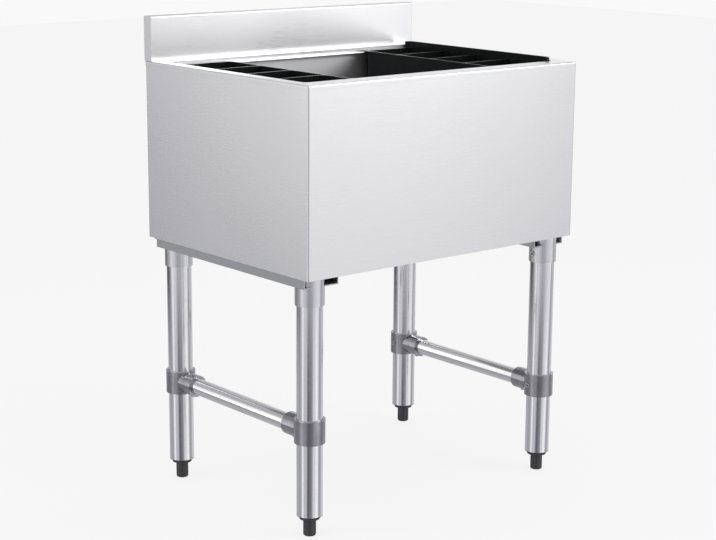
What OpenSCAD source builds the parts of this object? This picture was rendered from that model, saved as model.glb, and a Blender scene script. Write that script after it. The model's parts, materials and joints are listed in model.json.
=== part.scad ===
// Underbar ice bin: an insulated sheet-steel bin on four tube legs, with a low
// backsplash and a black bottle holder at each end of the ice compartment.
// Millimetres, +Z up, the front faces -Y. The origin is on the floor, under the
// middle of the bin's outline.

/* [Overall] */
// Width of the bin, left to right
body_w = 610; // [540:5:900]
// Depth of the bin, front to back
body_d = 466; // [420:2:600]
// Height of the outer wall, from its lower edge to the rim
body_h = 316; // [296:2:420]
// Floor to the lower edge of the outer wall
clear_h = 450; // [340:5:560]
// Height of the backsplash above the rim
splash_h = 79; // [40:1:160]
// Thickness of the backsplash, front to back
splash_t = 22; // [14:1:40]

/* [Outer sheet] */
// Thickness of the outer sheet
skin_t = 1.2; // [0.8:0.1:1.6]
// Outside radius of the bends along the rim and the backsplash
bend_r = 3; // [2:0.5:5]
// Outside radius of the wall's upright corners
corner_r = 4; // [3.5:0.5:8]
// Width of the rim along the front
rim_front = 36; // [28:1:60]
// Width of the rim along each side
rim_side = 22; // [18:1:50]
// Width of the rim between the opening and the backsplash
rim_rear = 20; // [16:1:50]
// Drop of the rim's lip inside the liner
lip_drop = 9.5; // [8:0.5:20]
// Width of the ledge under the lip, along the front and the rear
ledge_w = 12; // [8:1:20]
// Depth of the rim frame's edge, down to the weld on the outer wall
rim_skirt = 8; // [6:1:15]
// Height of the hem folded inside the wall's lower edge
hem_h = 12; // [6:1:16]
// Width of the wall's returns at the rear
return_w = 20; // [14:1:30]
// Set-back of the wall's rear edge from the rim
rear_inset = 2; // [1.6:0.2:5]

/* [Liner] */
// Thickness of the liner
liner_t = 1; // [0.8:0.1:1.5]
// Height of the liner's floor above the outer wall's lower edge, at the liner's walls
floor_rise = 36; // [34:1:60]
// Radius of the liner's upright corners
liner_r = 12; // [8:1:25]
// Fall of the floor to the drain
floor_fall = 8; // [3:1:12]
// Width of the liner's top flange
liner_flange = 9; // [5:1:12]

/* [Bottom] */
// Thickness of the bottom pan
pan_t = 1.2; // [0.8:0.1:2]
// Height of the pan's turned-up edge
pan_flange = 18; // [10:1:22]
// Width of a leg channel across its walls
channel_w = 72; // [68:1:80]
// Height of a leg channel
channel_h = 17; // [14:1:30]
// Thickness of a leg channel
channel_t = 2; // [1.5:0.1:3]
// Width of each lip along a channel's top
channel_lip = 4; // [3:0.5:5]
// Set-back of a channel's wall from the bin's side
channel_side = 5; // [5:0.5:6]
// Set-back of the channels from the bin's front
channel_front = 17; // [5:1:20]
// Set-back of the channels from the bin's rear
channel_rear = 20; // [12:1:21]

/* [Legs] */
// Outside diameter of a leg
leg_d = 44.5; // [41:0.1:46]
// Wall of a leg
leg_wall = 1.6; // [1.2:0.1:3]
// Side of the bin to a leg's axis
leg_side = 33.5; // [32.5:0.5:38]
// Front of the bin to the front legs' axes
leg_front = 38; // [36:1:60]
// Rear of the bin to the rear legs' axes
leg_rear = 48; // [47:1:60]
// Outside diameter of a leg socket
socket_d = 50; // [49:0.5:51]
// Length of a leg socket below its channel
socket_drop = 32; // [20:1:45]
// Length of a socket's plate, along its channel
plate_l = 60; // [56:1:80]
// Thickness of a socket's plate
plate_t = 3; // [2:0.5:5]
// Shank diameter of the socket rivets
rivet_d = 3.2; // [2.4:0.1:3.6]

/* [Bracing] */
// Height of the left crossbar's axis
bar_left_z = 185; // [140:1:240]
// Height of the right crossbar's axis
bar_right_z = 167; // [140:1:240]
// Outside diameter of a crossbar
bar_d = 30; // [24:0.5:32]
// Wall of a crossbar
bar_wall = 1.5; // [1:0.1:3]
// Outside diameter of a clamp's collar
clamp_d = 53; // [50:0.5:58]
// Height of a clamp's collar
clamp_h = 41; // [40:1:55]
// Outside diameter of a clamp's boss for the crossbar
boss_d = 39; // [36:0.5:40]
// Leg axis to the end of the boss
boss_reach = 54; // [48:1:70]
// Diameter of the set screws
screw_d = 8; // [6:0.5:10]
// How far the set screws stand out
screw_out = 2.5; // [1:0.5:5]

/* [Feet] */
// Floor to the lower end of a leg's tube
foot_h = 37; // [34:1:48]
// Length of a leg insert inside its tube
insert_len = 24; // [16:1:40]
// Thickness of a leg insert's flange
insert_flange = 1; // [0.8:0.1:2]
// Diameter of a leg insert's neck, below its flange
insert_neck_d = 35; // [32:0.5:38]
// Height of a leg insert's neck
insert_neck = 6; // [3:0.5:8]
// Diameter of a foot's stem
stem_d = 12; // [10:1:16]
// Length of a foot's stem
stem_len = 82; // [70:1:110]
// Diameter of a foot
foot_d = 22; // [20:0.5:28]
// Diameter of a foot's flat end
foot_tip_d = 16; // [12:0.5:18]

/* [Bottle holders] */
// Width of a bottle holder, left to right
holder_w = 124; // [95:1:130]
// Depth of a bottle holder below the rim
holder_h = 180; // [120:5:215]
// Wall of a bottle holder
holder_t = 3; // [2:0.5:4]
// Number of bottle places in a holder
places = 4; // [2:1:4]
// Thickness of the flange that a holder hangs by
hang_t = 3; // [2:0.5:5]
// Top of the left holder's outer wall below the rim
wall_left_dip = 1.5; // [0:0.5:6]
// Top of the right holder's outer wall above the rim
wall_right_rise = 6; // [0:0.5:15]
// Radius of a holder's upright corners
holder_r = 13; // [12:1:20]
// Diameter of the drain holes in a holder
weep_d = 10; // [6:1:14]

/* [Drain] */
// Diameter of the drain's flange
drain_flange_d = 84; // [78:1:88]
// Thickness of the drain's flange
drain_flange_t = 3; // [2.5:0.5:5]
// Outside diameter of the cup under the flange
cup_d = 58; // [50:1:64]
// Depth of the cup below the liner
cup_depth = 14; // [12:1:16]
// Wall of the cup and of the tail
drain_wall = 3; // [2:0.5:4]
// Outside diameter of the drain's tail
tail_d = 33.4; // [26:0.2:42]
// Length of the tail below the bin's bottom
tail_drop = 55; // [30:1:80]
// Diameter of the strainer
strainer_d = 66; // [62:0.5:70]
// Thickness of the strainer
strainer_t = 1.6; // [1:0.1:2]
// Diameter of the holes in the strainer
strainer_hole = 5; // [3:0.5:6]
// Diameter and height of the strainer's knob
knob_d = 12; // [8:1:16]
// Thickness of the gasket
gasket_t = 2.5; // [1.5:0.5:4]
// Outside diameter of the lock nut
nut_d = 76; // [72:1:86]
// Height of the lock nut
nut_h = 7; // [5:1:8]

/* [Hidden] */
$fn = 64;
// Clearance between sheets that are welded to each other
weld_gap = 0.1;
// Clearance round the foam boards
foam_gap = 0.2;
// Radial clearance of a tube in its socket, collar or insert
tube_gap = 0.2;
// Radial clearance of a foot's stem in its insert and of a foot on its stem
thread_gap = 0.05;
// Clearance between a foot's top and its leg insert
foot_gap = 0.3;
// Clearance of a bottle holder to the rim's lip and its ledges
holder_gap = 1.5;
// Clearance below a lift-out piece at rest
seat_gap = 0.1;
// Clearance of a socket's plate to the walls of its channel
plate_gap = 0.5;
// Distance from a socket's plate to its channel's end
plate_inset = 1;
// Clearance of the strainer in its recess
strainer_gap = 0.3;
// Clearance round the drain where it passes the pan and the foam
drain_gap = 1.5;
// Material left under a blind hole
blind = 3;
// Head height of a rivet
rivet_head = 1.4;
// Distance from a socket rivet's head to the edge of its plate
rivet_edge = 1;
// Margin of the floor's flat land round the drain's flange
land_margin = 5;
// Overlap of a cutter past the face that it cuts
eps = 1;

half_w = body_w / 2;
half_d = body_d / 2;
rim_z = clear_h + body_h;
deck_z = rim_z - skin_t;

// Opening inside the rim's lip
open_x = half_w - rim_side;
open_y0 = -half_d + rim_front;
open_y1 = half_d - splash_t - rim_rear;
open_mid = (open_y0 + open_y1) / 2;
open_d = open_y1 - open_y0;
ledge_z = rim_z - lip_drop + skin_t;

// Inner faces of the liner, which the lip lies against
liner_w = 2 * (open_x + skin_t);
liner_d = open_d + 2 * skin_t;
floor_z = clear_h + floor_rise;
land_z = floor_z - floor_fall;
land_w = drain_flange_d + 2 * land_margin;

// Rear panel, inside the wall's returns
wall_y1 = half_d - rear_inset;
panel_y1 = wall_y1 - skin_t;
panel_y0 = panel_y1 - skin_t;

// Bottom pan, inside the hem
pan_x = half_w - 2 * skin_t - weld_gap;
pan_y0 = -half_d + 2 * skin_t + weld_gap;
pan_y1 = panel_y0 - weld_gap;
pan_top = clear_h + pan_t;

// Foam boards round the liner
foam_x = half_w - skin_t - foam_gap;
foam_y0 = open_y0 - skin_t - liner_t - foam_gap;
foam_y1 = open_y1 + skin_t + liner_t + foam_gap;
foam_top = deck_z - liner_t - foam_gap;
foam_floor_top = floor_z - liner_t - foam_gap;

// Legs and what holds them
web_z = clear_h - channel_h;
channel_x = half_w - channel_side - channel_w / 2;
leg_x = half_w - leg_side;
leg_top = clear_h - plate_t;
leg_r = leg_d / 2;
plate_x0 = channel_x - channel_w / 2 + channel_t + plate_gap;
plate_x1 = channel_x + channel_w / 2 - channel_t - plate_gap;
rivet_in = rivet_d + rivet_edge;
set_d = 1.5 * rivet_d;
insert_d = leg_d - 2 * leg_wall - 2 * tube_gap;
neck_z = foot_h - insert_flange - insert_neck;
foot_top = neck_z - foot_gap;
bar_end = leg_r + blind;

// Drain, from the floor's land down
gasket_z = land_z - liner_t - gasket_t;
cup_z = land_z - cup_depth;
strainer_z = land_z + drain_flange_t - strainer_t;
tail_z = clear_h - tail_drop;

front_left = [-1, -1];
front_right = [1, -1];
rear_left = [-1, 1];
rear_right = [1, 1];
corners = [front_left, front_right, rear_left, rear_right];

function leg_at(c) = [c[0] * leg_x, c[1] < 0 ? -half_d + leg_front : half_d - leg_rear, 0];
function plate_end(c) = c[1] < 0 ? -half_d + channel_front + plate_inset : half_d - channel_rear - plate_inset;
function bar_z(c) = c[0] < 0 ? bar_left_z : bar_right_z;

// Rectangle with round corners, as true arcs
module round_rect(w, d, r) {
    square([w - 2 * r, d], center = true);
    square([w, d - 2 * r], center = true);
    for (x = [-1, 1], y = [-1, 1])
        translate([x * (w / 2 - r), y * (d / 2 - r)]) circle(r);
}

// Outline standing on y = 0 whose two upper corners are round
module round_top(w, h, r) {
    translate([-w / 2, 0]) square([w, h - r]);
    translate([-w / 2 + r, 0]) square([w - 2 * r, h]);
    for (x = [-1, 1]) translate([x * (w / 2 - r), h - r]) circle(r);
}

// Upright prism with round corners, from z0 to z1 and from y0 to y1
module prism(w, y0, y1, z0, z1, r) {
    translate([0, (y0 + y1) / 2, z0]) linear_extrude(z1 - z0) round_rect(w, y1 - y0, r);
}

// Plain block between two pairs of limits across, in either order
module block(x0, x1, y0, y1, z0, z1) {
    translate([min(x0, x1), min(y0, y1), z0]) cube([abs(x1 - x0), abs(y1 - y0), z1 - z0]);
}

// Prism whose four upper edges are bent with radius r_top
module bent_prism(w, d, h, r_up, r_top) {
    intersection() {
        linear_extrude(h) round_rect(w, d, r_up);
        translate([0, d / 2, 0]) rotate([90, 0, 0]) linear_extrude(d) round_top(w, h, r_top);
        translate([-w / 2, 0, 0]) rotate([90, 0, 90]) linear_extrude(w) round_top(d, h, r_top);
    }
}

// Shallow four-sided funnel, its top at z = 0 and its flat land at z = -h
module funnel(w, d, land, h) {
    a = land / 2;
    polyhedron(
        points = [
            [-w / 2, -d / 2, 0], [w / 2, -d / 2, 0], [w / 2, d / 2, 0], [-w / 2, d / 2, 0],
            [-a, -a, -h], [a, -a, -h], [a, a, -h], [-a, a, -h]],
        faces = [[3, 2, 1, 0], [4, 5, 6, 7], [0, 1, 5, 4], [1, 2, 6, 5], [2, 3, 7, 6], [3, 0, 4, 7]]);
}

// Round bar from z0 to z1
module rod(d, z0, z1) {
    translate([0, 0, z0]) cylinder(d = d, h = z1 - z0);
}

// Top frame: the flat rim, its outer edge and the lip inside the liner, which
// turns inward below as a ledge along the front and the rear
module rim_frame() {
    color("silver") {
        difference() {
            translate([0, 0, rim_z - rim_skirt]) bent_prism(body_w, body_d, rim_skirt, corner_r, bend_r);
            translate([0, 0, rim_z - rim_skirt - eps])
                bent_prism(body_w - 2 * skin_t, body_d - 2 * skin_t, rim_skirt - skin_t + eps,
                    corner_r - skin_t, bend_r - skin_t);
            prism(2 * open_x, open_y0, open_y1, deck_z - eps, rim_z + eps, liner_r - skin_t);
        }
        difference() {
            prism(liner_w, open_y0 - skin_t, open_y1 + skin_t, ledge_z - skin_t, deck_z, liner_r);
            prism(2 * open_x, open_y0, open_y1, ledge_z, rim_z, liner_r - skin_t);
            block(-open_x, open_x, open_y0 + ledge_w, open_y1 - ledge_w, ledge_z - skin_t - eps, rim_z);
        }
    }
}

// Outer wall: one sheet round the front and both sides, hemmed below
module outer_wrap() {
    top = rim_z - rim_skirt;
    color("silver") difference() {
        prism(body_w, -half_d, wall_y1, clear_h, top, corner_r);
        prism(body_w - 2 * skin_t, -half_d + skin_t, wall_y1 - skin_t, clear_h + hem_h, top + eps,
            corner_r - skin_t);
        prism(body_w - 4 * skin_t, -half_d + 2 * skin_t, wall_y1 - skin_t, clear_h - eps,
            clear_h + hem_h + eps, corner_r - 2 * skin_t);
        block(-half_w + return_w, half_w - return_w, 0, half_d, clear_h - eps, top + eps);
        rear_rivet_holes();
    }
}

// Rear panel, riveted inside the wall's returns
module rear_panel() {
    x = half_w - corner_r - weld_gap;
    color("gainsboro") difference() {
        block(-x, x, panel_y0, panel_y1, clear_h, deck_z);
        rear_rivet_holes();
    }
}

// Places of the rear rivets, looking forward from the rear face
module rear_rivet_places() {
    rows = 4;
    step = (body_h - 2 * hem_h - 2 * return_w) / (rows - 1);
    for (x = [-1, 1], i = [0 : rows - 1])
        translate([x * (half_w - return_w / 2 - skin_t), wall_y1 + eps,
            clear_h + hem_h + return_w + i * step]) rotate([90, 0, 0]) children();
}

// Holes for the rear rivets, through the wall's returns and the panel
module rear_rivet_holes() {
    rear_rivet_places() cylinder(d = rivet_d, h = 2 * skin_t + 2 * eps);
}

// Blind rivet standing on z = 0: a head below and a set end above
module rivet(grip) {
    translate([0, 0, -rivet_head]) cylinder(d = 2 * rivet_d, h = rivet_head);
    cylinder(d = rivet_d, h = grip);
    translate([0, 0, grip]) cylinder(d = set_d, h = rivet_head);
}

// Rivets that hold the rear panel to the wall's returns
module rear_rivets() {
    color("darkgray") rear_rivet_places() translate([0, 0, eps]) rivet(2 * skin_t);
}

// Low boxed backsplash, open below where it stands on the rim
module backsplash() {
    w = body_w - 2 * skin_t;
    color("silver") translate([-w / 2, half_d - splash_t / 2, rim_z]) rotate([90, 0, 90]) difference() {
        linear_extrude(w) round_top(splash_t, splash_h, bend_r);
        translate([0, -eps, -eps]) linear_extrude(w + 2 * eps)
            round_top(splash_t - 2 * skin_t, splash_h - skin_t + eps, bend_r - skin_t);
    }
}

// Flat caps welded over both ends of the backsplash
module splash_end_caps() {
    color("silver") for (x = [-half_w, half_w - skin_t])
        translate([x, half_d - splash_t / 2, rim_z]) rotate([90, 0, 90])
            linear_extrude(skin_t) round_top(splash_t, splash_h, bend_r);
}

// Space that the liner encloses, grown by g on every side and below
module liner_space(g, top) {
    prism(liner_w + 2 * g, open_y0 - skin_t - g, open_y1 + skin_t + g, floor_z - g, top, liner_r + g);
    translate([0, open_mid, floor_z - g + weld_gap])
        funnel(liner_w - 2 * liner_r, liner_d - 2 * liner_r, land_w, floor_fall + weld_gap);
}

// Ice compartment: walls, top flange and a floor that falls to the drain
module liner() {
    color("lightgray") difference() {
        union() {
            liner_space(liner_t, deck_z);
            prism(liner_w + 2 * (liner_t + liner_flange), open_y0 - skin_t - liner_t - liner_flange,
                open_y1 + skin_t + liner_t + liner_flange, deck_z - liner_t, deck_z, liner_r);
        }
        liner_space(0, deck_z + eps);
        translate([0, open_mid, 0]) rod(cup_d + 2 * tube_gap, gasket_z, land_z + eps);
    }
}

// Foam board over the bin's whole width, rounded to fit the wall's bends
module foam_across(y0, y1) {
    color("khaki") prism(2 * foam_x, y0, y1, foam_floor_top, foam_top, corner_r - skin_t - foam_gap);
}

module foam_front() {
    foam_across(-half_d + skin_t + foam_gap, foam_y0);
}

module foam_rear() {
    foam_across(foam_y1, panel_y0 - rivet_head - foam_gap);
}

module foam_side(side) {
    color("khaki") block(side * (liner_w / 2 + liner_t + foam_gap), side * foam_x, foam_y0, foam_y1,
        foam_floor_top, foam_top);
}

// Board between the pan and the liner's floor
module foam_floor() {
    x = pan_x - pan_t - foam_gap;
    color("khaki") difference() {
        block(-x, x, pan_y0 + pan_t + foam_gap, pan_y1 - pan_t - foam_gap, pan_top, foam_floor_top);
        liner_space(liner_t + foam_gap, deck_z);
        translate([0, open_mid, 0]) rod(nut_d + 2 * drain_gap, pan_top - eps, floor_z);
        socket_rivet_places()
            rod(set_d + 2 * foam_gap, plate_t, plate_t + pan_t + rivet_head + foam_gap);
    }
}

// Galvanised pan that closes the bottom
module bottom_pan() {
    color("gainsboro") difference() {
        prism(2 * pan_x, pan_y0, pan_y1, clear_h, clear_h + pan_flange, corner_r - 2 * skin_t);
        block(-pan_x + pan_t, pan_x - pan_t, pan_y0 + pan_t, pan_y1 - pan_t, pan_top,
            clear_h + pan_flange + eps);
        translate([0, open_mid, 0]) rod(tail_d + 2 * drain_gap, clear_h - eps, pan_top + eps);
        socket_rivet_places() rod(rivet_d, 0, plate_t + pan_t + eps);
    }
}

// Hat channel under one side, open below the pan at both ends
module channel(side) {
    x = side * channel_x;
    w = channel_w / 2;
    y0 = -half_d + channel_front;
    y1 = half_d - channel_rear;
    color("darkgray") difference() {
        union() {
            block(x - w, x + w, y0, y1, web_z, clear_h);
            block(x - w - channel_lip, x + w + channel_lip, y0, y1, clear_h - channel_t, clear_h);
        }
        block(x - w + channel_t, x + w - channel_t, y0 - eps, y1 + eps, web_z + channel_t, clear_h + eps);
        for (c = corners) if (c[0] == side) translate(leg_at(c))
            rod(socket_d + 2 * tube_gap, web_z - eps, web_z + channel_t + eps);
    }
}

// Leg socket: a plate under the pan, inside the channel, and a collar that hangs
// from it through the channel's web
module socket(c) {
    color("dimgray") difference() {
        union() {
            block(c[0] * plate_x0, c[0] * plate_x1, plate_end(c), plate_end(c) - c[1] * plate_l,
                leg_top, clear_h);
            translate(leg_at(c)) rod(socket_d, web_z - socket_drop, clear_h);
        }
        translate(leg_at(c)) {
            rod(leg_d + 2 * tube_gap, web_z - socket_drop - eps, leg_top);
            set_screw_hole(c[0], web_z - socket_drop / 2, socket_d);
        }
        socket_rivet_places() rod(rivet_d, -eps, plate_t + eps);
    }
}

// Places of the rivets under the sockets' plates: two beside each collar, towards
// the bin's middle, and one at the plate's far outer corner
module socket_rivet_places() {
    strip = (plate_x0 + leg_x - socket_d / 2) / 2;
    far = plate_l - rivet_in;
    for (c = corners, p = [[strip, rivet_in], [strip, far], [plate_x1 - rivet_in, far]])
        translate([c[0] * p[0], plate_end(c) - c[1] * p[1], leg_top]) children();
}

// Rivets that hold the sockets' plates to the pan
module socket_rivets() {
    color("gray") socket_rivet_places() rivet(plate_t + pan_t);
}

// Hole for a set screw on the side of a collar that faces the bin's middle
module set_screw_hole(side, z, d) {
    translate([0, 0, z]) rotate([0, -90 * side, 0]) rod(screw_d, leg_r - eps, d / 2 + eps);
}

// Set screw that bears on a leg, with a hexagon socket in its end
module set_screw(side, z, d) {
    translate([0, 0, z]) rotate([0, -90 * side, 0]) hex_screw(leg_r, d / 2 + screw_out);
}

// Headless screw between two heights, with a hexagon socket in its upper end
module hex_screw(z0, z1) {
    difference() {
        rod(screw_d, z0, z1);
        translate([0, 0, z1 - screw_d / 3]) cylinder(d = screw_d / 2, h = screw_d / 3 + eps, $fn = 6);
    }
}

module socket_screws() {
    color("gray") for (c = corners) translate(leg_at(c))
        set_screw(c[0], web_z - socket_drop / 2, socket_d);
}

// Leg tube, from the foot's insert up to the socket's plate
module leg(c) {
    color("lightgray") translate(leg_at(c)) difference() {
        rod(leg_d, foot_h, leg_top);
        rod(leg_d - 2 * leg_wall, foot_h - eps, leg_top + eps);
    }
}

// Cast clamp: a collar on the leg with a boss for the crossbar
module clamp(c) {
    color("dimgray") translate(leg_at(c) + [0, 0, bar_z(c)]) difference() {
        union() {
            cylinder(d = clamp_d, h = clamp_h, center = true);
            rotate([c[1] * 90, 0, 0]) cylinder(d = boss_d, h = boss_reach);
        }
        cylinder(d = leg_d + 2 * tube_gap, h = clamp_h + 2 * eps, center = true);
        rotate([c[1] * 90, 0, 0]) rod(bar_d + 2 * tube_gap, bar_end, boss_reach + eps);
        set_screw_hole(c[0], 0, clamp_d);
        clamp_bar_screw_place(c) rod(screw_d, bar_d / 2, boss_d / 2 + eps);
    }
}

// Place of the screw under a clamp's boss, relative to the clamp
module clamp_bar_screw_place(c) {
    translate([0, -c[1] * (boss_reach + clamp_d / 2) / 2, 0]) rotate([180, 0, 0]) children();
}

module clamp_screws() {
    color("gray") for (c = corners) translate(leg_at(c) + [0, 0, bar_z(c)]) {
        set_screw(c[0], 0, clamp_d);
        clamp_bar_screw_place(c) hex_screw(bar_d / 2, boss_d / 2 + screw_out);
    }
}

// Crossbar between the front and the rear clamp of one side
module crossbar(side) {
    y0 = -half_d + leg_front + bar_end;
    y1 = half_d - leg_rear - bar_end;
    z = side < 0 ? bar_left_z : bar_right_z;
    color("lightgray") translate([side * leg_x, y1, z]) rotate([90, 0, 0]) difference() {
        rod(bar_d, 0, y1 - y0);
        rod(bar_d - 2 * bar_wall, -eps, y1 - y0 + eps);
    }
}

// Threaded insert in the end of a leg, with a thin flange under the tube and a neck below it
module insert(c) {
    color("dimgray") translate(leg_at(c)) difference() {
        union() {
            rod(insert_neck_d, neck_z, foot_h);
            rod(leg_d, foot_h - insert_flange, foot_h);
            rod(insert_d, foot_h - insert_flange, foot_h + insert_len);
        }
        rod(stem_d + 2 * thread_gap, 0, foot_h + insert_len + eps);
    }
}

// Threaded stem of a foot
module stem(c) {
    color("gray") translate(leg_at(c)) rod(stem_d, blind * 2, blind * 2 + stem_len);
}

// Foot: a round post, drawn in a little to its flat end
module foot(c) {
    r = foot_d / 2;
    tip = foot_tip_d / 2;
    nose = r - tip;
    color("black") translate(leg_at(c)) difference() {
        rotate_extrude() union() {
            square([tip, foot_top]);
            translate([0, nose]) square([r, foot_top - nose]);
            intersection() {
                translate([tip, nose]) circle(nose);
                square([r, foot_top]);
            }
        }
        rod(stem_d + 2 * thread_gap, blind * 2, foot_top + eps);
    }
}

// Bottle holder: an open box in equal places that hangs on the ledges by its end
// flanges, with its outer wall raised
module holder(side) {
    y0 = open_y0 + ledge_w + holder_gap;
    y1 = open_y1 - ledge_w - holder_gap;
    base = rim_z - holder_h;
    top = ledge_z + seat_gap + hang_t;
    wall_top = rim_z + (side < 0 ? -wall_left_dip : wall_right_rise);
    pitch = (y1 - y0 - holder_t) / places;
    cell_w = holder_w - 2 * holder_t;
    color([0.1, 0.11, 0.11]) translate([side * (open_x - holder_gap - holder_w / 2), 0, 0]) difference() {
        union() {
            prism(holder_w, y0, y1, base, top, holder_r);
            prism(holder_w, y0 - ledge_w, y1 + ledge_w, ledge_z + seat_gap, wall_top, holder_r);
        }
        block(side * (-holder_w / 2 - eps), side * (holder_w / 2 - holder_r), y0 - ledge_w - eps,
            y1 + ledge_w + eps, top, wall_top + eps);
        prism(cell_w, y0 - ledge_w + holder_t, y1 + ledge_w - holder_t, top, wall_top + eps,
            holder_r - holder_t);
        for (i = [0 : places - 1])
            prism(cell_w, y0 + holder_t + i * pitch, y0 + (i + 1) * pitch, base + holder_t, top + eps,
                i == 0 || i == places - 1 ? holder_r - holder_t : holder_t);
        for (i = [0 : places - 1], a = [-1, 1])
            translate([a * cell_w / 4, y0 + holder_t / 2 + (i + 0.5) * pitch, base - eps])
                cylinder(d = weep_d, h = holder_t + 2 * eps);
    }
}

// Drain fitting: flange, cup and tail in one casting
module drain_body() {
    color("silver") translate([0, open_mid, 0]) difference() {
        union() {
            rod(drain_flange_d, land_z, land_z + drain_flange_t);
            rod(cup_d, cup_z, land_z);
            rod(tail_d, tail_z, cup_z);
        }
        rod(strainer_d + 2 * strainer_gap, strainer_z - seat_gap, land_z + drain_flange_t + eps);
        rod(cup_d - 2 * drain_wall, cup_z + drain_wall, land_z + drain_flange_t);
        rod(tail_d - 2 * drain_wall, tail_z - eps, land_z);
    }
}

// Flat ring round the drain's cup
module drain_ring(d, z0, z1) {
    difference() {
        rod(d, z0, z1);
        rod(cup_d + 2 * tube_gap, z0 - eps, z1 + eps);
    }
}

module drain_gasket() {
    color([0.15, 0.15, 0.15]) translate([0, open_mid, 0]) drain_ring(nut_d, gasket_z, gasket_z + gasket_t);
}

// Lock nut with eight notches for a spanner
module drain_nut() {
    notches = 8;
    color("darkgray") translate([0, open_mid, 0]) difference() {
        drain_ring(nut_d, gasket_z - nut_h, gasket_z);
        for (i = [1 : notches]) rotate([0, 0, i * 360 / notches])
            translate([nut_d / 2, 0, gasket_z - nut_h / 2])
                cube([nut_h, nut_h, nut_h + eps], center = true);
    }
}

// Lift-out strainer: a perforated disc with a small knob
module drain_strainer() {
    rings = 3;
    step = (strainer_d - knob_d) / 2 / (rings + 0.5);
    color("silver") translate([0, open_mid, strainer_z]) {
        difference() {
            cylinder(d = strainer_d, h = strainer_t);
            for (k = [1 : rings], a = [0 : 6 * k - 1]) rotate([0, 0, a * 60 / k])
                translate([knob_d / 2 + (k - 0.4) * step, 0, -eps])
                    cylinder(d = strainer_hole, h = strainer_t + 2 * eps);
        }
        cylinder(d = knob_d, h = knob_d);
    }
}

rim_frame();
outer_wrap();
rear_panel();
rear_rivets();
backsplash();
splash_end_caps();
liner();
foam_front();
foam_rear();
foam_side(-1);  // foam_left
foam_side(1);  // foam_right
foam_floor();
bottom_pan();
channel(-1);  // channel_left
channel(1);  // channel_right
socket(front_left);  // socket_front_left
socket(front_right);  // socket_front_right
socket(rear_left);  // socket_rear_left
socket(rear_right);  // socket_rear_right
socket_rivets();
socket_screws();
leg(front_left);  // leg_front_left
leg(front_right);  // leg_front_right
leg(rear_left);  // leg_rear_left
leg(rear_right);  // leg_rear_right
clamp(front_left);  // clamp_front_left
clamp(front_right);  // clamp_front_right
clamp(rear_left);  // clamp_rear_left
clamp(rear_right);  // clamp_rear_right
clamp_screws();
crossbar(-1);  // crossbar_left
crossbar(1);  // crossbar_right
insert(front_left);  // insert_front_left
insert(front_right);  // insert_front_right
insert(rear_left);  // insert_rear_left
insert(rear_right);  // insert_rear_right
stem(front_left);  // stem_front_left
stem(front_right);  // stem_front_right
stem(rear_left);  // stem_rear_left
stem(rear_right);  // stem_rear_right
foot(front_left);  // foot_front_left
foot(front_right);  // foot_front_right
foot(rear_left);  // foot_rear_left
foot(rear_right);  // foot_rear_right
holder(-1);  // holder_left
holder(1);  // holder_right
drain_body();
drain_gasket();
drain_nut();
drain_strainer();
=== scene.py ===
import json
import math

import bmesh
import bpy
from mathutils import Matrix, Vector


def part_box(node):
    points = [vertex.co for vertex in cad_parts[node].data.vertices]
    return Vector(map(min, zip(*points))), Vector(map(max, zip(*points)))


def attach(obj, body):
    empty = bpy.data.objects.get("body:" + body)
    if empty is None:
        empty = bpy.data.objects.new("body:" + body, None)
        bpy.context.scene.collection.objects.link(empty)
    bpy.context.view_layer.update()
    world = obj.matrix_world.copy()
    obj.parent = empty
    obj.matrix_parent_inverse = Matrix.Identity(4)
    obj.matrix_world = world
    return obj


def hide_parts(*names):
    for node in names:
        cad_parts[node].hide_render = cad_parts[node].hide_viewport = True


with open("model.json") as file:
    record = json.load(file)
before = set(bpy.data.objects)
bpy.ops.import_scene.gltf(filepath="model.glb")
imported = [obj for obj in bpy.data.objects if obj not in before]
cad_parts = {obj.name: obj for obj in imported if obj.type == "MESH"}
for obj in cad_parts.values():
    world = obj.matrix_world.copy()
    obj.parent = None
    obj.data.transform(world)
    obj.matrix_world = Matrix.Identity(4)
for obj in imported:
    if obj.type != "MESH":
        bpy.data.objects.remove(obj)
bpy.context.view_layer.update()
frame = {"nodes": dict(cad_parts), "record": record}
cadNodes = frame["nodes"]
mm = 0.001  # in metres

# camera: place in metres, angles in degrees, lens and sensor in millimetres
view = {
    "place": (-2.0009, -2.3854, 1.0921),
    "heading": 39.91,   # from the +Y axis towards +X
    "tilt": 12.78,      # downwards
    "roll": 0.38,       # anticlockwise
    "lens": 88.1,
    "sensor": 36.0,
}


def placeCamera():
    heading, tilt, roll = (math.radians(view[name]) for name in ("heading", "tilt", "roll"))
    ahead = Vector((math.sin(heading) * math.cos(tilt), math.cos(heading) * math.cos(tilt),
                    -math.sin(tilt)))
    level = Vector((math.cos(heading), -math.sin(heading), 0))
    upright = level.cross(ahead)
    right = level * math.cos(roll) + upright * math.sin(roll)
    up = upright * math.cos(roll) - level * math.sin(roll)
    data = bpy.data.cameras.new("camera")
    data.lens = view["lens"]
    data.sensor_width = view["sensor"]
    camera = bpy.data.objects.new("camera", data)
    axes = Matrix((right, up, -ahead)).transposed()
    camera.matrix_world = Matrix.Translation(view["place"]) @ axes.to_4x4()
    bpy.context.scene.collection.objects.link(camera)
    bpy.context.scene.camera = camera


placeCamera()
print("camera placed")


# small helpers for node trees: a value is a number, a colour or the socket of another node
def fillSocket(tree, socket, value):
    if isinstance(value, bpy.types.NodeSocket):
        tree.links.new(value, socket)
    elif socket.type == "RGBA":
        socket.default_value = (*value, 1)
    else:
        socket.default_value = value


def addNode(tree, kind, values=None, **settings):
    node = tree.nodes.new(kind)
    for name, value in settings.items():
        setattr(node, name, value)
    for name, value in (values or {}).items():
        fillSocket(tree, node.inputs[name], value)
    return node


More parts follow.
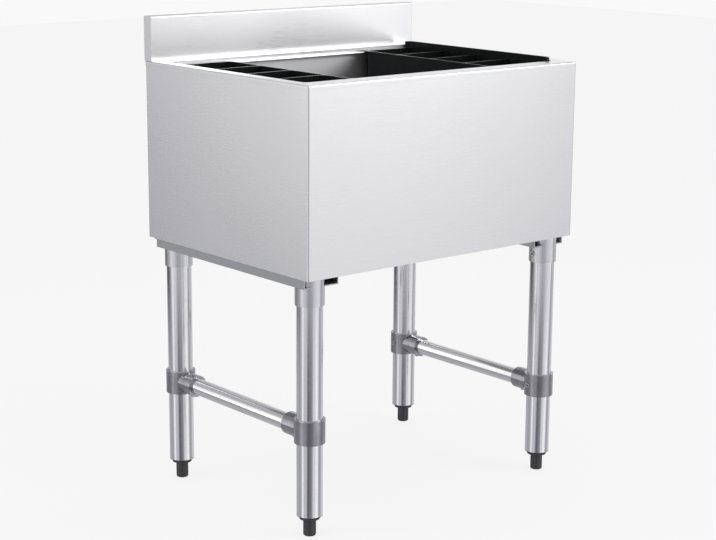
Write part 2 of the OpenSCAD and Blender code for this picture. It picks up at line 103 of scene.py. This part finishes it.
def calc(tree, operation, *values):
    return addNode(tree, "ShaderNodeMath", dict(enumerate(values)), operation=operation).outputs[0]


def mapRange(tree, value, fromLow, fromHigh, toLow, toHigh):
    values = {"Value": value, "From Min": fromLow, "From Max": fromHigh,
              "To Min": toLow, "To Max": toHigh}
    return addNode(tree, "ShaderNodeMapRange", values).outputs["Result"]


def mixColour(tree, share, first, second):
    values = {0: share, 6: first, 7: second}  # 6 and 7 are the Mix node's colours
    return addNode(tree, "ShaderNodeMix", values, data_type="RGBA").outputs[2]


def grey(tone):
    return tone, tone, tone


# studio: soft light from all round. Metal mirrors four rings of brighter and darker stretches
# at the sides, and plain tones above and below them.
studio = {
    "background": 0.945,            # what the camera sees
    "diffuse": 0.70,                # what lights matt surfaces
    "top": 0.5,
    "bottom": 0.45,
    "topFade": (0.35, 0.9),         # where the rings give way to the top, as sines of the height
    "bottomFade": (-0.45, -0.95),   # and to the bottom
    "coolShadows": 0.16,            # extra blue in the darker stretches
    # from the lowest ring up: the sine of its height over the horizon, then angles from +X
    # towards +Y in degrees, each with the tone there
    "rings": [
        # mirrored in the legs
        (-0.27, [(-171, 0.52), (-161, 0.58), (-152, 0.4), (-144, 0.13), (-134, 0.12),
                 (-125, 0.19), (-112, 0.25), (-106, 0.3), (-98, 0.65), (-88, 0.7), (-78, 0.78),
                 (-69, 0.98), (-60, 1.0), (-52, 0.72), (-44, 0.44), (-36, 0.36), (-22, 0.42),
                 (-8, 0.6), (17, 0.72), (50, 0.6), (82, 0.5), (107, 0.45), (122, 0.4),
                 (136, 0.37), (149, 0.40), (157, 0.55), (165, 0.9), (172, 0.95), (180, 0.8)]),
        # in the lower part of the walls
        (-0.215, [(-180, 0.8), (-150, 0.6), (-125, 0.5), (-95, 0.6), (-75, 0.7), (-62, 0.7),
                  (-52, 0.75), (-48, 1.35), (-43, 0.55), (-36, 0.45), (-10, 0.5), (20, 0.65),
                  (50, 0.6), (80, 0.35), (100, 0.05), (122, 0.0), (136, 0.1), (150, 0.4),
                  (165, 0.8)]),
        # in their upper part and the backsplash
        (-0.10, [(-180, 0.9), (-150, 0.75), (-125, 0.65), (-105, 0.7), (-80, 0.75), (-62, 0.8),
                 (-52, 0.88), (-48, 1.15), (-43, 0.85), (-36, 0.6), (-10, 0.7), (20, 0.85),
                 (45, 0.85), (56, 0.55), (80, 0.5), (105, 0.35), (118, 0.4), (123, 0.5),
                 (131, 2.1), (137, 1.0), (147, 0.75), (165, 0.75)]),
        # in the rim, and in walls seen from lower down
        (0.12, [(-180, 0.8), (-125, 0.65), (-80, 0.75), (-50, 0.9), (-30, 0.75), (0, 0.75),
                (25, 0.85), (47, 0.95), (52, 0.75), (58, 0.5), (75, 0.5), (105, 0.45),
                (121, 0.45), (131, 1.3), (142, 0.8), (160, 0.75)]),
    ],
}


def coolTone(tone):
    return tone, tone, tone * (1 + studio["coolShadows"] * max(0, 1 - tone))


def ringOfLight(tree, turn, stretches):
    ring = addNode(tree, "ShaderNodeValToRGB", {"Fac": turn})
    ring.color_ramp.interpolation = "EASE"
    stops = ring.color_ramp.elements
    while len(stops) < len(stretches):  # one ramp takes 32 stops at most
        stops.new(0.5)
    for stop, (angle, tone) in zip(stops, sorted(stretches)):
        stop.position = (angle + 180) / 360
        stop.color = (*coolTone(tone), 1)
    return ring.outputs["Color"]


def lightWorld():
    world = bpy.data.worlds.new("studio")
    bpy.context.scene.world = world
    world.use_nodes = True
    tree = world.node_tree
    tree.nodes.clear()
    direction = addNode(tree, "ShaderNodeTexCoord").outputs["Generated"]
    x, y, height = addNode(tree, "ShaderNodeSeparateXYZ", {"Vector": direction}).outputs
    turn = mapRange(tree, calc(tree, "ARCTAN2", y, x), -math.pi, math.pi, 0, 1)
    lower, stretches = studio["rings"][0]
    mirrored = ringOfLight(tree, turn, stretches)
    for upper, stretches in studio["rings"][1:]:
        share = mapRange(tree, height, lower, upper, 0, 1)
        mirrored = mixColour(tree, share, mirrored, ringOfLight(tree, turn, stretches))
        lower = upper
    for end in ("top", "bottom"):
        share = mapRange(tree, height, *studio[end + "Fade"], 0, 1)
        mirrored = mixColour(tree, share, mirrored, grey(studio[end]))
    rays = addNode(tree, "ShaderNodeLightPath").outputs
    colour = mixColour(tree, rays["Is Glossy Ray"], grey(studio["diffuse"]), mirrored)
    colour = mixColour(tree, rays["Is Camera Ray"], colour, grey(studio["background"]))
    back = addNode(tree, "ShaderNodeBackground", {"Color": colour, "Strength": 1.0})
    addNode(tree, "ShaderNodeOutputWorld", {"Surface": back.outputs[0]})


# lamps, which all point at the same spot: places and sizes in metres
lampTarget = Vector((0, 0, 0.5))
lamps = {
    "rightSoftbox": {"place": (1.6, -2.0, 1.8), "size": (0.9, 1.2), "watts": 16},
    "leftSoftbox": {"place": (-2.3, 0.5, 1.7), "size": (1.2, 1.4), "watts": 8},
    "topSoftbox": {"place": (0.1, 0.1, 2.6), "size": (2.3, 2.3), "watts": 8},
}


def hangLamps():
    for name, values in lamps.items():
        data = bpy.data.lights.new(name, "AREA")
        data.shape = "RECTANGLE"
        data.size, data.size_y = values["size"]
        data.energy = values["watts"]
        lamp = bpy.data.objects.new(name, data)
        lamp.location = values["place"]
        lamp.rotation_euler = (lampTarget - lamp.location).to_track_quat("-Z", "Y").to_euler()
        bpy.context.scene.collection.objects.link(lamp)


floorValues = {
    "reach": 9.0,               # metres from the middle to each side
    "colour": (0.9, 0.9, 0.9),
    "white": 0.95,              # what the camera sees where no shadow falls
    "shadowShare": 0.12,        # how much of the lit floor shows through that
}


def layFloor():
    mesh = bpy.data.meshes.new("floor")
    reach = floorValues["reach"]
    corners = [(-reach, -reach, 0), (reach, -reach, 0), (reach, reach, 0), (-reach, reach, 0)]
    mesh.from_pydata(corners, [], [(0, 1, 2, 3)])
    floor = bpy.data.objects.new("floor", mesh)
    bpy.context.scene.collection.objects.link(floor)
    material = bpy.data.materials.new("paleFloor")
    material.use_nodes = True
    tree = material.node_tree
    tree.nodes.clear()
    matt = addNode(tree, "ShaderNodeBsdfDiffuse", {"Color": floorValues["colour"]}).outputs[0]
    glow = addNode(tree, "ShaderNodeEmission",
                   {"Color": grey(floorValues["white"]), "Strength": 1.0}).outputs[0]
    rays = addNode(tree, "ShaderNodeLightPath").outputs
    share = calc(tree, "MULTIPLY", rays["Is Camera Ray"], 1 - floorValues["shadowShare"])
    mixed = addNode(tree, "ShaderNodeMixShader", {0: share, 1: matt, 2: glow}).outputs[0]
    # clear when seen from below, so that the underside shows
    below = addNode(tree, "ShaderNodeNewGeometry").outputs["Backfacing"]
    clear = addNode(tree, "ShaderNodeBsdfTransparent").outputs[0]
    whole = addNode(tree, "ShaderNodeMixShader", {0: below, 1: mixed, 2: clear}).outputs[0]
    addNode(tree, "ShaderNodeOutputMaterial", {"Surface": whole})
    mesh.materials.append(material)
    floor.visible_glossy = False


lightWorld()
hangLamps()
layFloor()
print("studio lit")


# effects that several finishes share, each a node group
def newGroup(name, inputs, outputs):
    group = bpy.data.node_groups.new(name, "ShaderNodeTree")
    kind = "NodeSocketFloat"
    for label, value in inputs.items():
        socket = group.interface.new_socket(name=label, in_out="INPUT", socket_type=kind)
        socket.default_value = value
    for label in outputs:
        group.interface.new_socket(name=label, in_out="OUTPUT", socket_type=kind)
    given = group.nodes.new("NodeGroupInput").outputs
    result = group.nodes.new("NodeGroupOutput").inputs
    return group, given, result


def objectPlace(tree):
    return addNode(tree, "ShaderNodeTexCoord").outputs["Object"]


def noise(tree, place, scale, detail, roughness=0.5):
    values = {"Vector": place, "Scale": scale, "Detail": detail, "Roughness": roughness}
    return addNode(tree, "ShaderNodeTexNoise", values).outputs


def vectorMath(tree, operation, first, second):
    values = {0: first, 1: second}
    return addNode(tree, "ShaderNodeVectorMath", values, operation=operation).outputs[0]


grainValues = {
    "levelFrom": 0.7,       # a face is level where its normal rises more than this
    "strokeDetail": 3.0,
    "strokeRoughness": 0.6,
    "cloudScale": 4.0,      # clouds to the metre
    "cloudDetail": 2.0,
}


def makeBrushedGrain():
    # fine strokes along the sheet: along X and Y on walls, along X on level faces
    group, given, result = newGroup(
        "brushedGrain", {"Stroke Length": 0.06, "Stroke Width": 0.0003}, ["Stroke", "Cloud"])
    place = objectPlace(group)
    normal = addNode(group, "ShaderNodeNewGeometry").outputs["Normal"]
    lift = addNode(group, "ShaderNodeSeparateXYZ", {"Vector": normal}).outputs["Z"]
    level = calc(group, "GREATER_THAN", calc(group, "ABSOLUTE", lift), grainValues["levelFrom"])
    along = calc(group, "DIVIDE", 1.0, given["Stroke Length"])
    across = calc(group, "DIVIDE", 1.0, given["Stroke Width"])
    strokes = []
    for scales in ((along, along, across), (along, across, along)):
        scale = addNode(group, "ShaderNodeCombineXYZ", dict(enumerate(scales))).outputs[0]
        spot = vectorMath(group, "MULTIPLY", place, scale)
        strokes.append(noise(group, spot, 1.0, grainValues["strokeDetail"],
                             grainValues["strokeRoughness"])["Fac"])
    values = {0: level, 2: strokes[0], 3: strokes[1]}  # 2 and 3 are the Mix node's numbers
    stroke = addNode(group, "ShaderNodeMix", values).outputs[0]
    cloud = noise(group, place, grainValues["cloudScale"], grainValues["cloudDetail"])["Fac"]
    group.links.new(stroke, result["Stroke"])
    group.links.new(cloud, result["Cloud"])
    return group


spangleValues = {
    "waveScale": 90.0,      # waves to the metre in the flakes' borders
    "waveDetail": 2.0,
    "waveReach": 0.006,     # metres
    "bloomScale": 14.0,     # patches to the metre
    "bloomDetail": 4.0,
}


def makeZincSpangle():
    # flakes of zinc crystal, each with its own tone, and a soft bloom over them
    group, given, result = newGroup("zincSpangle", {"Flake Size": 0.008}, ["Flake", "Bloom"])
    place = objectPlace(group)
    wave = noise(group, place, spangleValues["waveScale"], spangleValues["waveDetail"])["Color"]
    shift = vectorMath(group, "SUBTRACT", wave, grey(0.5))  # so that it goes both ways
    shift = vectorMath(group, "MULTIPLY", shift, grey(spangleValues["waveReach"]))
    spot = vectorMath(group, "ADD", place, shift)
    count = calc(group, "DIVIDE", 1.0, given["Flake Size"])
    cells = addNode(group, "ShaderNodeTexVoronoi", {"Vector": spot, "Scale": count}).outputs
    flake = addNode(group, "ShaderNodeSeparateColor", {"Color": cells["Color"]}).outputs[0]
    bloom = noise(group, place, spangleValues["bloomScale"], spangleValues["bloomDetail"])["Fac"]
    group.links.new(flake, result["Flake"])
    group.links.new(bloom, result["Bloom"])
    return group


skinValues = {"gritDetail": 4.0, "swellSize": 22.0, "swellDetail": 2.0}  # a swell is 22 grits wide


def makeSkin():
    # skin of a casting or a moulding: fine grit on slow swells
    group, given, result = newGroup("skin", {"Grit Size": 0.0008}, ["Grit", "Swell"])
    place = objectPlace(group)
    count = calc(group, "DIVIDE", 1.0, given["Grit Size"])
    grit = noise(group, place, count, skinValues["gritDetail"])["Fac"]
    slow = calc(group, "DIVIDE", count, skinValues["swellSize"])
    swell = noise(group, place, slow, skinValues["swellDetail"])["Fac"]
    group.links.new(grit, result["Grit"])
    group.links.new(swell, result["Swell"])
    return group


grainGroup = makeBrushedGrain()
spangleGroup = makeZincSpangle()
skinGroup = makeSkin()

# the band of a mask that goes from one end of a finish to the other; noise seldom leaves it
noiseBand = (0.3, 0.7)
cloudBand = (0.35, 0.65)
wholeBand = (0, 1)


def useGroup(tree, group, values):
    return addNode(tree, "ShaderNodeGroup", values, node_tree=group).outputs


def startMaterial(name, fixed):
    material = bpy.data.materials.new(name)
    material.use_nodes = True
    tree = material.node_tree
    shader = tree.nodes["Principled BSDF"]
    for socket, value in fixed.items():
        shader.inputs[socket].default_value = value
    return material, tree, shader


def toneBetween(tree, mask, band, values):
    # from the darker tone of the finish to its own colour
    dark = tuple(part * (1 - values["contrast"]) for part in values["colour"])
    return mixColour(tree, mapRange(tree, mask, *band, 0, 1), dark, values["colour"])


def spreadRound(tree, mask, band, middle, spread):
    return mapRange(tree, mask, *band, middle - spread, middle + spread)


def dressShader(tree, shader, colour, roughness, height, strength, depth):
    values = {"Height": height, "Strength": strength, "Distance": depth}
    bump = addNode(tree, "ShaderNodeBump", values)
    tree.links.new(colour, shader.inputs["Base Color"])
    tree.links.new(roughness, shader.inputs["Roughness"])
    tree.links.new(bump.outputs["Normal"], shader.inputs["Normal"])


steelValues = {
    "smearTurn": 0.25,      # smears reflections across the strokes, as real brushed sheet does
    "strokeSpread": 0.04,   # of the roughness, from stroke to stroke
    "cloudSpread": 0.02,    # and from cloud to cloud
    "depth": 0.00004,       # metres
}


def brushedSteel(name, values):
    material, tree, shader = startMaterial(name, {
        "Metallic": 1.0, "Anisotropic": values["anisotropy"],
        "Anisotropic Rotation": steelValues["smearTurn"]})
    grain = useGroup(tree, grainGroup, {"Stroke Length": values["strokeLength"],
                                        "Stroke Width": values["strokeWidth"]})
    stroke = grain["Stroke"]
    colour = toneBetween(tree, stroke, noiseBand, values)
    rough = spreadRound(tree, stroke, noiseBand, values["roughness"], -steelValues["strokeSpread"])
    cloudy = spreadRound(tree, grain["Cloud"], cloudBand, 0, steelValues["cloudSpread"])
    rough = calc(tree, "ADD", rough, cloudy)
    dressShader(tree, shader, colour, rough, stroke, values["bump"], steelValues["depth"])
    return material


zincValues = {"flakeShare": 0.6, "bloomShare": 0.4, "depth": 0.0002}


def zincCoat(name, values):
    material, tree, shader = startMaterial(name, {"Metallic": 1.0})
    spangle = useGroup(tree, spangleGroup, {"Flake Size": values["flake"]})
    bloom = spangle["Bloom"]
    pattern = calc(tree, "ADD",
                   calc(tree, "MULTIPLY", spangle["Flake"], zincValues["flakeShare"]),
                   calc(tree, "MULTIPLY", bloom, zincValues["bloomShare"]))
    colour = toneBetween(tree, pattern, wholeBand, values)
    rough = spreadRound(tree, pattern, wholeBand, values["roughness"], -values["spread"])
    dressShader(tree, shader, colour, rough, bloom, values["bump"], zincValues["depth"])
    return material


castValues = {"gritSpread": 0.06, "depthShare": 0.4}  # the grit's depth as a share of its size


def skinned(name, values):
    material, tree, shader = startMaterial(name, {
        "Metallic": values.get("metallic", 0.0), "Specular IOR Level": values.get("specular", 0.5)})
    skin = useGroup(tree, skinGroup, {"Grit Size": values["grit"]})
    grit = skin["Grit"]
    colour = toneBetween(tree, skin["Swell"], noiseBand, values)
    rough = spreadRound(tree, grit, noiseBand, values["roughness"], castValues["gritSpread"])
    depth = values["grit"] * castValues["depthShare"]
    dressShader(tree, shader, colour, rough, grit, values["bump"], depth)
    return material


# one finish for each material slot of the record, with its sizes in metres
finishes = {
    "outer_steel": (brushedSteel, {
        "colour": (0.88, 0.88, 0.885), "roughness": 0.30, "anisotropy": 0.6, "contrast": 0.06,
        "strokeLength": 0.05, "strokeWidth": 0.0004, "bump": 0.12}),
    "liner_steel": (brushedSteel, {
        "colour": (0.90, 0.90, 0.91), "roughness": 0.52, "anisotropy": 0.3, "contrast": 0.08,
        "strokeLength": 0.05, "strokeWidth": 0.0005, "bump": 0.15}),
    "zinc_sheet": (zincCoat, {
        "colour": (0.60, 0.61, 0.62), "roughness": 0.40, "spread": 0.08, "contrast": 0.16,
        "flake": 0.009, "bump": 0.12}),
    "zinc_tube": (zincCoat, {
        "colour": (0.88, 0.88, 0.885), "roughness": 0.13, "spread": 0.03, "contrast": 0.05,
        "flake": 0.007, "bump": 0.05}),
    "socket_steel": (zincCoat, {
        "colour": (0.80, 0.80, 0.82), "roughness": 0.22, "spread": 0.03, "contrast": 0.06,
        "flake": 0.006, "bump": 0.06}),
    "drain_metal": (zincCoat, {
        "colour": (0.78, 0.78, 0.79), "roughness": 0.14, "spread": 0.03, "contrast": 0.05,
        "flake": 0.02, "bump": 0.02}),
    "nut_metal": (zincCoat, {
        "colour": (0.62, 0.62, 0.60), "roughness": 0.32, "spread": 0.05, "contrast": 0.1,
        "flake": 0.005, "bump": 0.1}),
    "fastener_steel": (zincCoat, {
        "colour": (0.58, 0.58, 0.60), "roughness": 0.3, "spread": 0.05, "contrast": 0.12,
        "flake": 0.003, "bump": 0.08}),
    "clamp_iron": (skinned, {
        "colour": (0.42, 0.42, 0.44), "roughness": 0.19, "metallic": 0.95, "contrast": 0.2,
        "grit": 0.0011, "bump": 0.25}),
    "insert_plastic": (skinned, {
        "colour": (0.05, 0.05, 0.054), "roughness": 0.42, "contrast": 0.2,
        "grit": 0.0008, "bump": 0.25}),
    "foot_plastic": (skinned, {
        "colour": (0.045, 0.045, 0.047), "roughness": 0.36, "contrast": 0.2,
        "grit": 0.0008, "bump": 0.2}),
    "holder_plastic": (skinned, {
        "colour": (0.008, 0.010, 0.010), "roughness": 0.28, "specular": 0.3, "contrast": 0.2,
        "grit": 0.0009, "bump": 0.12}),
    "foam": (skinned, {
        "colour": (0.78, 0.66, 0.36), "roughness": 0.9, "contrast": 0.18,
        "grit": 0.0016, "bump": 0.8}),
    "gasket_rubber": (skinned, {
        "colour": (0.02, 0.02, 0.021), "roughness": 0.7, "contrast": 0.2,
        "grit": 0.0006, "bump": 0.3}),
}

finishOf = {slotName: make(slotName, values) for slotName, (make, values) in finishes.items()}
for part in frame["record"]["subparts"]:
    slots = cadNodes[part["node"]].data.materials
    slots.clear()
    slots.append(finishOf[part["material_slot"]])
print("finishes set on", len(cadNodes), "nodes")


# how far edges are rounded, in millimetres: by a node's own name, or else by its first word
edges = {
    "rim_frame": 0.25, "outer_wrap": 0.25, "backsplash": 0.25, "splash_end_caps": 0.3,
    "bottom_pan": 0.25, "channel": 0.4, "leg": 0.3, "crossbar": 0.3, "insert": 0.6, "foot": 0.7,
    "socket": 0.4, "socket_screws": 0.5, "clamp": 0.9, "clamp_screws": 0.5, "rear_rivets": 0.4,
    "holder": 0.7, "drain_body": 0.4, "drain_nut": 0.4, "drain_strainer": 0.3,
}
rounding = {"seam": 0.01, "segments": 2, "sharperThan": 32, "normalWeight": 60}  # mm, degrees


def roundEdges(node, width):
    weld = node.modifiers.new("joinSeams", "WELD")
    weld.merge_threshold = rounding["seam"] * mm
    bevel = node.modifiers.new("edges", "BEVEL")
    bevel.width = width * mm
    bevel.segments = rounding["segments"]
    bevel.limit_method = "ANGLE"
    bevel.angle_limit = math.radians(rounding["sharperThan"])
    bevel.harden_normals = False
    normals = node.modifiers.new("normals", "WEIGHTED_NORMAL")
    normals.weight = rounding["normalWeight"]
    normals.keep_sharp = False


for nodeName, node in cadNodes.items():
    width = edges.get(nodeName, edges.get(nodeName.split("_")[0]))
    if width:
        roundEdges(node, width)
print("edges rounded")


# threads of the feet's stems: lengths in millimetres, places along the profile in pitches
threadValues = {
    "pitch": 1.75,
    "depth": 0.8,
    "sides": 28,
    "start": 0.02,
    "riseEnds": 0.4,
    "crestEnds": 0.55,
    "fallEnds": 0.95,
    "seam": 0.001,
    "sharperThan": 35,      # degrees
}


def cutThread(cornerName):
    # a foot's stem with its real thread, inside the plain stem of the frame
    low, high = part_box("stem_" + cornerName)
    axis = (low + high) / 2
    radius = (high.x - low.x) / 2
    pitch, sides = threadValues["pitch"] * mm, threadValues["sides"]
    core = radius - threadValues["depth"] * mm
    profile = [(0.0, core), (threadValues["riseEnds"], radius),
               (threadValues["crestEnds"], radius), (threadValues["fallEnds"], core)]
    turns = int((high.z - low.z) / pitch) - 1
    mesh = bmesh.new()
    rows = []  # the profile at each step round the stem
    for step in range(turns * sides + 1):
        angle = 2 * math.pi * step / sides
        base = low.z + pitch * step / sides + pitch * threadValues["start"]
        rows.append([mesh.verts.new((axis.x + reach * math.cos(angle),
                                     axis.y + reach * math.sin(angle), base + share * pitch))
                     for share, reach in profile])
    for row, after in zip(rows, rows[1:]):
        for k in range(len(profile) - 1):
            mesh.faces.new((row[k], after[k], after[k + 1], row[k + 1]))
    for step in range((turns - 1) * sides):  # the valley up to the next turn
        above = step + sides
        mesh.faces.new((rows[step][-1], rows[step + 1][-1], rows[above + 1][0], rows[above][0]))
    for end, side, turn in ((low.z, 0, rows[:sides + 1]), (high.z, -1, rows[-sides - 1:])):
        centre = mesh.verts.new((axis.x, axis.y, end))
        edge = [row[side] for row in turn]
        lid = [mesh.verts.new((vert.co.x, vert.co.y, end)) for vert in edge]
        for k in range(sides):
            mesh.faces.new((edge[k], edge[k + 1], lid[k + 1], lid[k]))
            mesh.faces.new((lid[k], lid[k + 1], centre))
    bmesh.ops.remove_doubles(mesh, verts=mesh.verts, dist=threadValues["seam"] * mm)
    bmesh.ops.recalc_face_normals(mesh, faces=mesh.faces)
    for face in mesh.faces:
        face.smooth = True
    data = bpy.data.meshes.new("thread_" + cornerName)
    mesh.to_mesh(data)
    mesh.free()
    data.set_sharp_from_angle(angle=math.radians(threadValues["sharperThan"]))
    data.materials.append(finishOf["fastener_steel"])
    piece = bpy.data.objects.new("thread_" + cornerName, data)
    bpy.context.scene.collection.objects.link(piece)
    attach(piece, "stem_" + cornerName)
    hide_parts("stem_" + cornerName)


for corner in ("front_left", "front_right", "rear_left", "rear_right"):
    cutThread(corner)
print("threads cut")

bpy.context.scene.view_settings.view_transform = "Standard"
